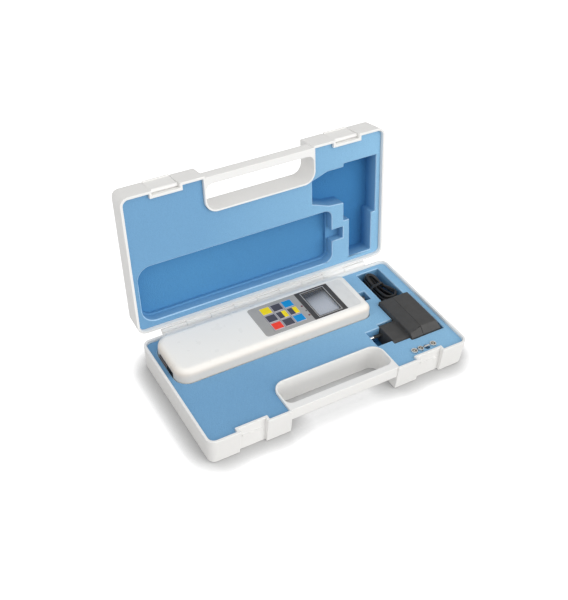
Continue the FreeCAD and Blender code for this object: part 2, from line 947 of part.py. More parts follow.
def cell_start():
    return cell_end() - cell_length


def cell_low():
    return stud_z - cell_height / 2


def cell_screw_places():
    x = cell_start() + cell_seat_length / 2
    return [(x, gauge_mid - cell_width / 4), (x, gauge_mid + cell_width / 4)]


def cell_head_floor():
    return cell_low() + cell_height - cell_screw_head_height - cell_screw_sunk


def load_cell():
    low = cell_low()
    high = low + cell_height
    near = gauge_mid - cell_width / 2
    far = gauge_mid + cell_width / 2
    cell = block(cell_start(), cell_end(), near, far, low, high)
    middle = (cell_start() + cell_end()) / 2
    for side in (-1, 1):
        x = middle + side * cell_hole_pitch / 2
        cell = cell.cut(rod(cell_hole_radius, Vector(x, near - past, stud_z), Vector(x, far + past, stud_z)))
    reach = cell_hole_pitch / 2
    half_slot = cell_slot / 2
    cell = cell.cut(
        block(middle - reach, middle + reach, near - past, far + past, stud_z - half_slot, stud_z + half_slot)
    )
    bore_start = cell_end() - shaft_spigot_length - 2 * shaft_gap
    cell = cell.cut(rod_x(shaft_spigot_radius + pin_gap, bore_start, cell_end() + past, gauge_mid, stud_z))
    for x, y in cell_screw_places():
        cell = cell.cut(rod_z(cell_screw_radius + screw_gap, x, y, low - past, high + past))
        cell = cell.cut(rod_z(cell_screw_head_radius + screw_gap, x, y, cell_head_floor(), high + past))
    return cell


def cell_seat():
    # stands on the housing's floor and carries the fixed end of the load cell
    start = cell_start()
    reach = cell_width / 2
    seat = block(
        start, start + cell_seat_length, gauge_mid - reach, gauge_mid + reach, gauge_low + gauge_wall, cell_low(),
    )
    for x, y in cell_screw_places():
        seat = seat.cut(rod_z(cell_screw_radius + screw_gap, x, y, gauge_low, cell_low() + past))
    return seat


def cell_screws():
    screws = []
    head_floor = cell_head_floor()
    for x, y in cell_screw_places():
        head = rod_z(cell_screw_head_radius, x, y, head_floor, head_floor + cell_screw_head_height)
        screws.append(head.fuse(rod_z(cell_screw_radius, x, y, gauge_low + gauge_wall + screw_gap, head_floor)))
    return screws


def measuring_shaft():
    start = cell_end() + shaft_gap
    nose = gauge_right + bush_flange
    shaft = rod_x(shaft_radius, start, nose, gauge_mid, stud_z)
    shaft = shaft.fuse(rod_x(shaft_spigot_radius, start - shaft_spigot_length, start, gauge_mid, stud_z))
    stud = rod_x(stud_radius, nose, nose + stud_length, gauge_mid, stud_z)
    tip = nose + stud_length
    stud = round_edges(stud, stud_end_round, lambda edge: abs(edge.BoundBox.XMin - tip) < touching)
    return shaft.fuse(stud)


def shaft_bush():
    start = gauge_right - gauge_wall - bush_inside
    end = gauge_right + bush_flange
    barrel = rod_x(bush_radius, start, gauge_right, gauge_mid, stud_z)
    flange = rod_x(bush_flange_radius, gauge_right, end, gauge_mid, stud_z)
    bore = rod_x(shaft_radius + pin_gap, start - past, end + past, gauge_mid, stud_z)
    return barrel.fuse(flange).cut(bore)


def battery_rows():
    for i in range(battery_count):
        yield gauge_mid + (i - (battery_count - 1) / 2) * battery_pitch


def battery_axis():
    return gauge_low + gauge_wall + battery_lift + battery_radius


def batteries():
    start = gauge_left + battery_start
    cells = []
    for y in battery_rows():
        can = rod_x(battery_radius, start, start + battery_length - battery_button, y, battery_axis())
        end = start + battery_length
        button = rod_x(battery_button_radius, end - battery_button, end, y, battery_axis())
        cells.append(can.fuse(button))
    return cells


def battery_tray():
    # an open tray above the hatch that the batteries lie in
    start = gauge_left + battery_start - tray_gap
    end = start + battery_length + 2 * tray_gap
    reach = battery_count * battery_pitch / 2 - gauge_under_round + gauge_wall
    low = gauge_low + gauge_wall
    high = battery_axis()
    outer = block(start - tray_wall, end + tray_wall, gauge_mid - reach, gauge_mid + reach, low, high)
    hollow = block(start, end, gauge_mid - reach, gauge_mid + reach, low + tray_floor, high + past)
    return outer.cut(hollow)


def socket_panel():
    front = gauge_left - socket_panel_proud
    back = gauge_left + gauge_wall
    plate = prism_x(socket_corners(face_joint), front, back)
    plate = plate.cut(rod_x(power_socket_radius + face_joint, front - past, back + past, *power_socket_place()))
    return plate.cut(data_socket_block(face_joint, front - past, back + past))


def power_socket_place():
    y = gauge_mid - socket_panel_width / 2 + power_socket_radius + power_socket_margin
    return y, gauge_low + socket_panel_up + socket_panel_height / 2


def data_socket_block(wider, x_low, x_high):
    y_high = gauge_mid + socket_panel_width / 2 - data_socket_margin + wider
    y_low = y_high - data_socket_width - 2 * wider
    middle = gauge_low + socket_panel_up + socket_panel_height / 2
    reach = data_socket_height / 2 + wider
    return block(x_low, x_high, y_low, y_high, middle - reach, middle + reach)


def power_socket():
    y, z = power_socket_place()
    front = gauge_left - socket_panel_proud - socket_rim_proud
    back = gauge_left + socket_depth
    body = rod_x(power_socket_radius, front, back, y, z)
    body = body.cut(rod_x(power_socket_bore, front - past, back - socket_floor, y, z))
    return body.fuse(rod_x(power_pin_radius, front + socket_pin_sunk, back - socket_floor / 2, y, z))


def data_socket():
    front = gauge_left - socket_panel_proud - socket_rim_proud
    back = gauge_left + socket_depth
    body = data_socket_block(0.0, front, back)
    floor = back - data_socket_floor
    body = body.cut(data_socket_block(-data_socket_wall, front - past, floor))
    box = body.BoundBox
    for i in range(data_pins):
        y = box.YMin + data_socket_width * (i + 1) / (data_pins + 1)
        z = (box.ZMin + box.ZMax) / 2
        body = body.fuse(rod_x(data_pin_radius, front + socket_pin_sunk, floor + data_socket_wall, y, z))
    return body


# Mains adapter

def adapter_section(inset):
    left = adapter_left + inset
    right = adapter_right - inset
    low = adapter_low + inset
    high = adapter_top - inset
    ridge = adapter_left + adapter_parting
    corner = max(adapter_round - inset, adapter_sharp)
    return [
        (left, low, corner), (right, low, corner), (right, high - adapter_chamfer_z, corner),
        (right - adapter_chamfer_x, high, corner), (ridge, high, adapter_sharp),
        (left, high - adapter_ridge, corner),
    ]


def end_slope(inset, end, side, size):
    # a wedge that takes the top edge off one end of the block, or off the hollow inset into it
    reach = size - inset * (2.0 - math.sqrt(2.0))
    y = end - side * inset
    z = adapter_top - inset
    far = y + side * past
    wedge = [(far, z - reach - past, 0), (far, z + past, 0), (y - side * (reach + past), z + past, 0)]
    return prism_x(wedge, adapter_left - past, adapter_right + past)


def adapter_block(inset):
    body = prism_y(adapter_section(inset), adapter_front + inset, adapter_back - inset)
    body = body.cut(end_slope(inset, adapter_front, -1, adapter_front_slope))
    return body.cut(end_slope(inset, adapter_back, 1, adapter_back_slope))


def adapter_skin():
    return adapter_block(0.0).cut(adapter_block(adapter_wall))


def adapter_half(x_low, x_high):
    slab = block(
        x_low, x_high, adapter_front - past, adapter_back + past, adapter_low - past, adapter_top + past,
    )
    return adapter_skin().common(slab)


def mains_pin_places():
    z = adapter_low + collar_lift + collar_height / 2
    return [(collar_mid() + side * mains_pin_pitch / 2, z) for side in (-1, 1)]


def adapter_plug_shell():
    joint = adapter_left + adapter_parting
    shell = adapter_half(adapter_left - past, joint)
    low = adapter_low + collar_lift
    reach = collar_width / 2
    corners = rectangle(collar_mid() - reach, collar_mid() + reach, low, low + collar_height, collar_round)
    collar = prism_x(corners, adapter_left - collar_length, adapter_left + adapter_wall / 2)
    shell = shell.fuse(collar)
    face = adapter_left - collar_length
    for y, z in mains_pin_places():
        seat = face + mains_pin_seat + pin_gap
        shell = shell.cut(rod_x(mains_sleeve_radius + pin_gap, face - past, seat, y, z))
    return shell.removeSplitter()


def adapter_back_shell():
    shell = adapter_half(adapter_left + adapter_parting + face_joint, adapter_right + past)
    return shell.cut(cord_hole())


def cord_exit():
    return Vector(adapter_left + cord_exit_x, adapter_back, adapter_low + cord_exit_height)


def cord_hole():
    out = cord_exit()
    return rod(cord_radius + pin_gap, out - Vector(0, adapter_wall + past, 0), out + Vector(0, past, 0))


def mains_pins():
    face = adapter_left - collar_length
    tip = face - mains_pin_length
    pins = []
    for y, z in mains_pin_places():
        bare = rod_x(mains_pin_radius, tip, tip + mains_pin_bare, y, z)
        bare = round_edges(bare, mains_pin_round, lambda edge: abs(edge.BoundBox.XMax - tip) < touching)
        core = rod_x(mains_core_radius, tip + mains_pin_bare, face + mains_pin_seat, y, z)
        pins.append(bare.fuse(core))
    return pins


def pin_sleeves():
    face = adapter_left - collar_length
    start = face - mains_pin_length + mains_pin_bare
    end = face + mains_pin_seat
    sleeves = []
    for y, z in mains_pin_places():
        sleeve = rod_x(mains_sleeve_radius, start, end, y, z)
        sleeves.append(sleeve.cut(rod_x(mains_core_radius + pin_gap, start - past, end + past, y, z)))
    return sleeves


def adapter_board():
    left = adapter_left + adapter_wall + adapter_board_side
    right = adapter_right - adapter_wall - adapter_board_side
    low = adapter_low + adapter_wall
    reach = adapter_wall + adapter_board_end
    return block(left, right, adapter_front + reach, adapter_back - reach, low, low + board_thickness)


def adapter_transformer():
    low = adapter_low + adapter_wall + board_thickness
    left = adapter_left + adapter_wall + transformer_left
    right = left + core_length
    front = adapter_front + adapter_wall + transformer_front
    back = front + core_width
    core = block(left, right, front, back, low + core_lift, low + core_lift + core_height)
    winding = block(
        left + winding_inset, right - winding_inset, front - winding_proud, back + winding_proud,
        low, low + winding_height,
    )
    return core.fuse(winding).removeSplitter()


# Cord

def strain_relief():
    out = cord_exit()
    cone = Part.makeCone(relief_radius, relief_end_radius, relief_length, out, Vector(0, 1, 0))
    bore = rod(cord_radius + pin_gap, out - Vector(0, past, 0), out + Vector(0, relief_length + past, 0))
    return cone.cut(bore)


def cord_tube():
    out = cord_exit()
    inside = Vector(0, adapter_wall, 0)
    return rod(cord_radius, out - inside, Vector(out.x, adapter_back + relief_length + cord_run, out.z))


def hank_low():
    return pocket_floor + seat_gap


def hank_left():
    return adapter_left + cord_pocket_left + hank_side_gap


def cord_hank():
    left = hank_left()
    start = adapter_back + hank_start
    end = start + hank_length
    low = hank_low()
    fan_end = start + hank_fan_depth
    body = prism_z(
        [
            (left, start, hank_corner), (left + hank_front_width, start, hank_corner),
            (left + hank_back_width, end, hank_end_corner), (left, end, hank_end_corner),
        ],
        low, low + hank_height,
    )
    fan_top = low + hank_height - hank_fan_drop
    fan = prism_z(rectangle(left, left + hank_fan, start, fan_end, hank_corner), low, fan_top)
    body = body.fuse(fan)
    out = cord_exit()
    reach = relief_radius + relief_gap
    notch = block(
        out.x - reach, out.x + reach, start - past, adapter_back + relief_length + cord_run,
        low - past, out.z + reach,
    )
    return body.cut(notch).removeSplitter()


def cord_tie():
    left = hank_left()
    middle = adapter_back + hank_start + hank_length * tie_place
    outer = tie_thickness + tie_gap
    low = hank_low()
    high = low + hank_height
    right = left + hank_front_width + (hank_back_width - hank_front_width) * tie_place + tie_room
    near = middle - tie_width / 2
    far = middle + tie_width / 2
    ring = prism_y(rectangle(left - outer, right + outer, low - tie_under, high + outer, tie_corner), near, far)
    inside = rectangle(left - tie_gap, right + tie_gap, low, high + tie_gap)
    return ring.cut(prism_y(inside, near - past, far + past))


def dc_plug():
    x = hank_left() + hank_fan - plug_radius
    z = hank_low() + plug_radius
    start = adapter_back + hank_start + hank_fan_depth
    middle = start + plug_length
    grip = rod(plug_radius, Vector(x, start, z), Vector(x, middle, z))
    grip = round_edges(grip, plug_round, lambda edge: abs(edge.BoundBox.YMin - middle) < touching)
    end = middle + plug_tip_length
    tip = rod(plug_tip_radius, Vector(x, middle, z), Vector(x, end, z))
    bore = rod(plug_bore_radius, Vector(x, middle + plug_bore_floor, z), Vector(x, end + past, z))
    return grip.fuse(tip).cut(bore)


# Tips

def tip_blank(place):
    x, y = place
    high = foam_top + tip_proud
    low = high - tip_length
    return x, y, low, high


def tip_bore(x, y, high):
    return rod_z(tip_bore_radius, x, y, high - tip_bore_depth, high + past)


def flat_tip(place):
    x, y, low, high = tip_blank(place)
    return rod_z(tip_radius, x, y, low, high).cut(tip_bore(x, y, high))


def cone_tip(place):
    x, y, low, high = tip_blank(place)
    waist = tip_radius - tip_waist
    cone = Part.makeCone(tip_cone_end, waist, tip_cone_length, Vector(x, y, low), Vector(0, 0, 1))
    neck = rod_z(waist, x, y, low + tip_cone_length, high - tip_hex_height)
    sides = []
    for i in range(6):
        angle = math.radians(60 * i)
        sides.append((x + tip_radius * math.cos(angle), y + tip_radius * math.sin(angle), 0))
    nut = prism_z(sides, high - tip_hex_height, high)
    return cone.fuse(neck).fuse(nut).cut(tip_bore(x, y, high))


def blade_tip(place):
    # stands with its blade upwards
    x, y, low, high = tip_blank(place)
    root = high - tip_blade_height
    reach = tip_radius + past
    body = rod_z(tip_radius, x, y, low, high)
    for side in (-1, 1):
        near, far = sorted((y + side * tip_blade / 2, y + side * reach))
        body = body.cut(block(x - reach, x + reach, near, far, root, high + past))
    return body


def notch_tip(place):
    x, y, low, high = tip_blank(place)
    body = rod_z(tip_radius, x, y, low, high).cut(tip_bore(x, y, high))
    reach = tip_radius + past
    wide = tip_notch + past
    corners = [(x - wide, low - past, 0), (x + wide, low - past, 0), (x, low + tip_notch, 0)]
    return body.cut(prism_y(corners, y - reach, y + reach))


def build():
    os.makedirs("parts", exist_ok=True)
    save("base_shell", base_shell())
    save("base_foam", base_foam())
    save("hinge_pin", hinge_pin())
    save("lid_shell", lid_shell())
    save("lid_foam", lid_foam())
    save("latch_left", latch(-1))
    save("latch_right", latch(1))
    save("latch_pins", *latch_pins())

    save("gauge_rear_shell", gauge_rear_shell())
    save("gauge_front_shell", gauge_front_shell())
    save("housing_screws", *housing_screws())
    save("battery_hatch", battery_hatch())
    save("battery_tray", battery_tray())
    save("batteries", *batteries())
    save("main_board", main_board())
    save("board_screws", *board_screws())
    save("key_switches", *key_switches())
    save("display_module", display_module())
    save("display_lens", display_lens())
    save("display_bezel", display_bezel())
    save("keypad_panel", keypad_panel())
    save("end_label", end_label())
    row_names = ("front", "middle", "back")
    column_names = ("left", "centre", "right")
    for row, column, x, y in key_places():
        save("key_" + row_names[row] + "_" + column_names[column], key(x, y))
    save("load_cell", load_cell())
    save("load_cell_seat", cell_seat())
    save("load_cell_screws", *cell_screws())
    save("measuring_shaft", measuring_shaft())
    save("shaft_bush", shaft_bush())
    save("socket_panel", socket_panel())
    save("power_socket", power_socket())
    save("data_socket", data_socket())

    save("adapter_plug_shell", adapter_plug_shell())
    save("adapter_back_shell", adapter_back_shell())
    save("mains_pins", *mains_pins())
    save("pin_sleeves", *pin_sleeves())
    save("adapter_board", adapter_board())
    save("adapter_transformer", adapter_transformer())
    save("strain_relief", strain_relief())
    save("cord_tube", cord_tube())
    save("cord_hank", cord_hank())
    save("cord_tie", cord_tie())
    save("dc_plug", dc_plug())

    tips = tip_places()
    save("tip_flat", flat_tip(tips[0]))
    save("tip_cone", cone_tip(tips[1]))
    save("tip_blade", blade_tip(tips[2]))
    save("tip_notch", notch_tip(tips[3]))
    print("the cord's free stretch is straight, so it has no radii")


build()
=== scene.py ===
import math
import bmesh
import bpy
import numpy as np
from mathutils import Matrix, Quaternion, Vector


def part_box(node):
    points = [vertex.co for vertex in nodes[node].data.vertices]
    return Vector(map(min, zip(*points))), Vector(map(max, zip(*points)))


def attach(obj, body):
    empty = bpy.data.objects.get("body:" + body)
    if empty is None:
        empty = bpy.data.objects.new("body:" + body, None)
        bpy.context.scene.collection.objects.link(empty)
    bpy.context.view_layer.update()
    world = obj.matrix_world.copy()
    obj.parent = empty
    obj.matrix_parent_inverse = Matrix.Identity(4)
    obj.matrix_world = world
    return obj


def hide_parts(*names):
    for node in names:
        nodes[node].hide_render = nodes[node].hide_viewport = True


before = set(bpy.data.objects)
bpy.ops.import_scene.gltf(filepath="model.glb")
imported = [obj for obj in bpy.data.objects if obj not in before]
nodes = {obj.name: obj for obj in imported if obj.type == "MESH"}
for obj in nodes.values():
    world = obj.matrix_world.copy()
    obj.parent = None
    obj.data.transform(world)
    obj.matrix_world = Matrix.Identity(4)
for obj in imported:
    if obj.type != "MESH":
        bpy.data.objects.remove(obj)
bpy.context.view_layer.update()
scene = bpy.context.scene
scene.view_settings.view_transform = "Standard"
mm = 0.001
# The loaded nodes come selected, and the steps below act on what is selected.
for node in bpy.context.selected_objects:
    node.select_set(False)

cameraSet = {
    "place": (-0.4073, -0.6072, 0.7103),
    "azimuth": 31.79,      # degrees from +Y towards +X
    "elevation": 40.43,    # degrees that it looks down
    "roll": 2.75,
    "lens": 59.01,
    "sensor": 36,
}


def makeCamera(s):
    az, el = math.radians(s["azimuth"]), math.radians(s["elevation"])
    ahead = Vector((math.sin(az) * math.cos(el), math.cos(az) * math.cos(el), -math.sin(el)))
    data = bpy.data.cameras.new("camera")
    data.lens, data.sensor_width, data.sensor_fit = s["lens"], s["sensor"], "HORIZONTAL"
    camera = bpy.data.objects.new("camera", data)
    camera.location = s["place"]
    camera.rotation_mode = "QUATERNION"
    roll = Quaternion((0, 0, 1), math.radians(s["roll"]))
    camera.rotation_quaternion = ahead.to_track_quat("-Z", "Y") @ roll
    scene.collection.objects.link(camera)
    scene.camera = camera


makeCamera(cameraSet)
print("camera done")

# The adapter's cord, wound into a hank. Its exit, length and diameter are in metres, its places in millimetres.
cordSet = {
    "diameter": 3.0 * mm,
    "length": 1.07,
    "exit": (0.122, 0.017, 0.0128),
    "start": [(122, 17, 12.8), (122, 20.5, 12.8), (122.6, 24.5, 12.7), (125.4, 28.5, 12.6)],
    "end": [(122.5, 25.2, 9.3), (127.4, 23.0, 9.4), (131.6, 21.2, 9.9), (135.0, 22.2, 11.0),
            (136.2, 26.0, 11.9), (136.0, 30.0, 12.0), (136.0, 33.5, 12.0)],
    "front": 22.0,
    "back": 68.6,
    "leftFront": 114.7,     # centres of the outer turns' runs
    "leftBack": 118.6,
    "leftCurve": 1.5,
    "rightFront": 129.7,
    "rightBack": 129.4,
    "rightCurve": 0.9,
    "low": 9.4,
    "layer": 3.12,
    "layers": 5,
    "perTurn": 16,
    "inward": 3.05,         # from an outer turn to the inner one
    "inShare": 0.4,         # share of a turn in which the cord moves in, and out again at the bottom
    "outShare": 0.35,
    "skipUp": 3,            # points of a turn left out after the start, and where up goes over to down
    "skipDown": 2,
    "narrowest": 2.4,
    "bend": 0.25,           # share of a half turn that the bend at each end takes
    "frontDepth": 0.6,      # depth of the front bend, as a share of its half width
    "fanFrom": 16.5,        # turns above this height fan out, fully from fanFull on
    "fanFull": 24.5,
    "fan": 12.5,            # how far they spread past rightFront at the front
    "lean": 7.0,            # and how far their left runs follow
    "leanCurve": 0.6,
    "shortFrom": 17.5,      # turns below this height stop short of the front, fully from shortFull down
    "shortFull": 13.5,
    "shortBy": 4.2,
    "tiePlace": 47.2,
    "pinch": 0.12,          # how much the tie narrows the turns
    "pinchReach": 8,
    "riseBack": 5.0,        # how much the top turns rise behind the tie and in front of it
    "riseFront": 1.8,
    "riseReach": 18,
    "hump": 0.9,            # where the first whole turn passes over the cord's start
    "humpAt": 1,
    "humpShare": 0.12,
    "loose": 0.9,           # unevenness of the front, the back, the sides and the height
    "looseBack": 0.63,
    "wobble": 0.3,
    "wobbleUp": 0.105,
    "beats": (4.1, 2.7, 5.3, 7.1),      # and how fast each of them changes from turn to turn
    "wobbleAlong": (0.11, 0.2),
}


def ease(t):
    t = np.clip(t, 0, 1)
    return t * t * (3 - 2 * t)


# One point per value of turn, a count of whole turns. Seen from above a turn is a long loop, two straight runs
# joined by half circles: x is the middle plus half the width times the sine of the angle round an end, y runs
# from end to end. The runs draw together towards the back, upper turns fan out to the right at the front.
def hankTurns(s, turn, inward, height):
    frontBeat, backBeat, sideBeat, heightBeat = s["beats"]
    side = np.where(turn % 1 <= 0.5, 1.0, -1.0)
    along = 1 - np.abs(1 - 2 * (turn % 1))      # 0 at the front tip, 1 at the back tip
    frontAngle = np.clip(along / s["bend"], 0, 1) * np.pi / 2
    backAngle = np.clip((1 - along) / s["bend"], 0, 1) * np.pi / 2
    upper = np.clip((height - s["fanFrom"]) / (s["fanFull"] - s["fanFrom"]), 0, 1)
    short = np.clip((s["shortFrom"] - height) / (s["shortFrom"] - s["shortFull"]), 0, 1)
    front = s["front"] + inward + s["shortBy"] * short + s["loose"] * upper * (1 + np.sin(frontBeat * turn))
    back = s["back"] - inward + s["looseBack"] * np.sin(backBeat * turn + 1)

    # The middle between the two runs and half their distance.
    def runs(y):
        share = np.clip((y - s["front"]) / (s["back"] - s["front"]), 0, 1)
        spread = s["rightFront"] + s["fan"] * upper - s["rightBack"]
        right = s["rightBack"] + spread * (1 - share) ** s["rightCurve"]
        left = s["leftFront"] + (s["leftBack"] - s["leftFront"]) * share ** s["leftCurve"]
        left = left + s["lean"] * upper * (1 - share) ** s["leanCurve"]
        pinched = 1 - s["pinch"] * np.exp(-((y - s["tiePlace"]) / s["pinchReach"]) ** 2)
        return (left + right) / 2, np.maximum((right - left) / 2 * pinched - inward, s["narrowest"])

    frontRound, backRound = runs(front)[1] * s["frontDepth"], runs(back)[1]
    straight = np.clip((along - s["bend"]) / (1 - 2 * s["bend"]), 0, 1)
    y = front + frontRound + (back - backRound - front - frontRound) * straight
    y = y - frontRound * np.cos(frontAngle) * (along < s["bend"])
    y = y + backRound * np.cos(backAngle) * (along > 1 - s["bend"])
    middle, half = runs(y)
    fromTie = y - s["tiePlace"]
    x = middle + half * side * np.sin(frontAngle) * np.sin(backAngle)
    free = np.clip(np.abs(fromTie) / s["pinchReach"], 0, 1)
    x = x + s["wobble"] * np.sin(sideBeat * turn + s["wobbleAlong"][0] * y) * free
    rise = s["riseBack"] * ease(fromTie / s["riseReach"]) + s["riseFront"] * ease(-fromTie / s["riseReach"])
    lifted = np.clip((height - s["low"]) / (s["layer"] * s["layers"]), 0, 1)
    z = height + rise * lifted + s["wobbleUp"] * np.sin(heightBeat * turn + s["wobbleAlong"][1] * x)
    return np.stack([x, y, z], -1)


# Out of the relief, up the outer turns, down the inner ones, once round at the bottom, into the plug.
def cordRoute(s):
    n, layers = s["perTurn"], s["layers"]
    top = s["low"] + s["layer"] * layers
    up = np.arange(s["skipUp"], (layers - 1) * n + 1) / n
    hump = s["hump"] * np.exp(-((up - s["humpAt"]) / s["humpShare"]) ** 2)
    outer = hankTurns(s, up, 0.0, np.minimum(s["low"] + s["layer"] * (1 + up) + hump, top))
    down = np.arange(s["skipDown"], (layers + 1) * n) / n
    downHeight = s["low"] + s["layer"] * np.clip(layers - down, 0, None)
    inner = hankTurns(s, down, s["inward"] * np.clip(down / s["inShare"], 0, 1), downHeight)
    last = np.arange(1, n) / n
    outward = s["inward"] * np.clip(1 - last / s["outShare"], 0, 1)
    bottom = hankTurns(s, last, outward, np.full(len(last), s["low"]))
    return np.concatenate([s["start"], outer, inner, bottom, s["end"]]) * mm


def makeCord(s):
    route = cordRoute(s)
    data = bpy.data.curves.new("adapter_cord", "CURVE")
    data.dimensions = "3D"
    data.bevel_depth = 1.0      # times each point's radius, which also sizes the curve's own box
    data.bevel_resolution = 4
    data.resolution_u = 6
    data.use_fill_caps = True
    spline = data.splines.new("NURBS")
    spline.points.add(len(route) - 1)
    spline.points.foreach_set("co", np.c_[route, np.ones(len(route))].ravel())
    spline.points.foreach_set("radius", np.full(len(route), s["diameter"] / 2))
    spline.order_u = 3
    spline.use_endpoint_u = True
    cord = bpy.data.objects.new("adapter_cord", data)
    scene.collection.objects.link(cord)
    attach(cord, "adapter")
    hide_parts("cord_tube", "cord_hank")
    return cord


cord = makeCord(cordSet)
print("cord done")


# points[u, v] is a place. Quads join neighbours, and places that fall together are merged.
def gridMesh(name, points, closeU=False, closeV=False):
    index = np.arange(points.shape[0] * points.shape[1]).reshape(points.shape[:2])
    a = index if closeU else index[:-1]
    b = np.roll(index, -1, 0) if closeU else index[1:]
    if closeV:
        quads = np.stack([a, b, np.roll(b, -1, 1), np.roll(a, -1, 1)], -1)
    else:
        quads = np.stack([a[:, :-1], b[:, :-1], b[:, 1:], a[:, 1:]], -1)
    mesh = bpy.data.meshes.new(name)
    mesh.from_pydata(points.reshape(-1, 3), [], quads.reshape(-1, 4).tolist())
    shape = bmesh.new()
    shape.from_mesh(mesh)
    bmesh.ops.remove_doubles(shape, verts=shape.verts, dist=1e-7)
    shape.to_mesh(mesh)
    shape.free()
    piece = bpy.data.objects.new(name, mesh)
    scene.collection.objects.link(piece)
    return piece


# Smooth faces, with sharp edges above the angle.
def smooth(piece, angle):
    bpy.context.view_layer.objects.active = piece
    piece.select_set(True)
    bpy.ops.object.shade_smooth_by_angle(angle=math.radians(angle))
    piece.select_set(False)


# Points round a rectangle with quarter-circle corners, counter-clockwise.
def roundedLoop(low, high, radius, each):
    t = np.linspace(0, np.pi / 2, each)
    corners = [(high[0] - radius, low[1] + radius, -np.pi / 2), (high[0] - radius, high[1] - radius, 0),
               (low[0] + radius, high[1] - radius, np.pi / 2), (low[0] + radius, low[1] + radius, np.pi)]
    arcs = [np.stack([cx + radius * np.cos(t + a), cy + radius * np.sin(t + a)], -1) for cx, cy, a in corners]
    return np.concatenate(arcs)


tieSet = {
    "low": (114.0, 7.8), "high": (130.6, 28.0), "corner": 4.6,
    "lean": 3.6,            # how far its upper right stands out over the plug
    "leanFrom": 15.5,       # the height where that starts, and over how much height it grows
    "leanOver": 8,
    "place": 47.2, "slant": 0.16,
    "width": 3.0, "thick": 0.9,
    "bulge": 0.6,           # power of the sine across its width, which is flatter below 1
    "cornerSteps": 10, "aroundSteps": 16, "angle": 60,
}


# The hank's tie: a rounded rectangle in XZ leaning right towards its top, offset outward by a half-round
# section whose bulge is a flattened sine across the strip's width.
def makeTie(s):
    loop = roundedLoop(s["low"], s["high"], s["corner"], s["cornerSteps"])
    wide = (loop[:, 0] - s["low"][0]) / (s["high"][0] - s["low"][0])
    loop[:, 0] += s["lean"] * wide * ease((loop[:, 1] - s["leanFrom"]) / s["leanOver"])
    away = loop - loop.mean(0)
    away /= np.linalg.norm(away, axis=1)[:, None]
    t = np.linspace(0, 2 * np.pi, s["aroundSteps"], endpoint=False)
    across = np.cos(t) * s["width"] / 2
    out = np.sign(np.sin(t)) * np.abs(np.sin(t)) ** s["bulge"] * s["thick"] / 2
    xz = loop[:, None] + away[:, None] * out[None, :, None]
    y = s["place"] + across[None] + s["slant"] * (xz[..., 0] - loop[:, 0].mean())
    tie = gridMesh("hank_tie", np.stack([xz[..., 0], y, xz[..., 1]], -1) * mm, closeU=True, closeV=True)
    smooth(tie, s["angle"])
    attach(tie, "adapter")
    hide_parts("cord_tie")
    return tie


tie = makeTie(tieSet)
print("tie done")

# Pieces whose own shape stays and whose sharp edges are rounded: node, body, edge in millimetres.
edgeSet = {
    "segments": 3,
    "angle": 38,            # faces that meet more sharply than this, in degrees, get a rounded edge
    "smoothAngle": 33,
    "flatAngle": 1,
    "merge": 1e-6,
    "pieces": [
        ("base_foam", "root", 1.2), ("lid_foam", "lid", 1.2),
        ("base_shell", "root", 0.6), ("lid_shell", "lid", 0.6),
        ("latch_left", "latch_left", 0.4), ("latch_right", "latch_right", 0.4),
        ("adapter_plug_shell", "adapter", 0.7), ("adapter_back_shell", "adapter", 0.7),
        ("display_bezel", "gauge", 0.2), ("keypad_panel", "gauge", 0.12),
    ],
    "into": {"base_foam": (0, 0, -1), "lid_foam": (0, 0.99027, -0.13917)},     # from a foam's face into it
    "faceDepth": 0.02 * mm,
    "sharpBy": {     # nodes near which edges stay as they are: thin foam between the tips, the hinge's knuckles
        "base_foam": ["tip_flat", "tip_cone", "tip_blade", "tip_notch"],
        "base_shell": ["hinge_pin"], "lid_shell": ["hinge_pin"],
    },
    "room": (2 * mm, 4 * mm),       # how far round those nodes, in X and Y
}


# How far the mesh's points lie under its outermost plane, along a direction that points into it.
def depths(mesh, into):
    places = np.empty(len(mesh.vertices) * 3, np.float32)
    mesh.vertices.foreach_get("co", places)
    along = places.reshape(-1, 3) @ np.array(into)
    return along - along.min(), float(along.min())


# Edges to round carry the weight 1: where two faces meet sharply, and on foam only round the pockets.
# The foam's outer edge, which is followed from its leftmost point, lies against the shell and stays sharp.
def weighEdges(node, mesh, s):
    into = s["into"].get(node)
    onFace = depths(mesh, into)[0] < s["faceDepth"] if into else np.ones(len(mesh.vertices), bool)
    boxes = [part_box(near) for near in s["sharpBy"].get(node, [])]
    shape = bmesh.new()
    shape.from_mesh(mesh)
    weight = shape.edges.layers.float.new("bevel_weight_edge")
    chosen = set()
    for edge in shape.edges:
        sharp = edge.is_manifold and edge.calc_face_angle(0) > math.radians(s["angle"])
        middle = (edge.verts[0].co + edge.verts[1].co) / 2
        near = any(all(low[i] - s["room"][i] < middle[i] < high[i] + s["room"][i] for i in (0, 1))
                   for low, high in boxes)
        if sharp and not near and all(onFace[v.index] for v in edge.verts):
            chosen.add(edge)
    if into:
        ends = [min((v for edge in chosen for v in edge.verts), key=lambda v: v.co.x)]
        while ends:
            here = ends.pop()
            for edge in [e for e in here.link_edges if e in chosen]:
                chosen.discard(edge)
                ends.append(edge.other_vert(here))
    for edge in chosen:
        edge[weight] = 1.0
    shape.to_mesh(mesh)
    shape.free()


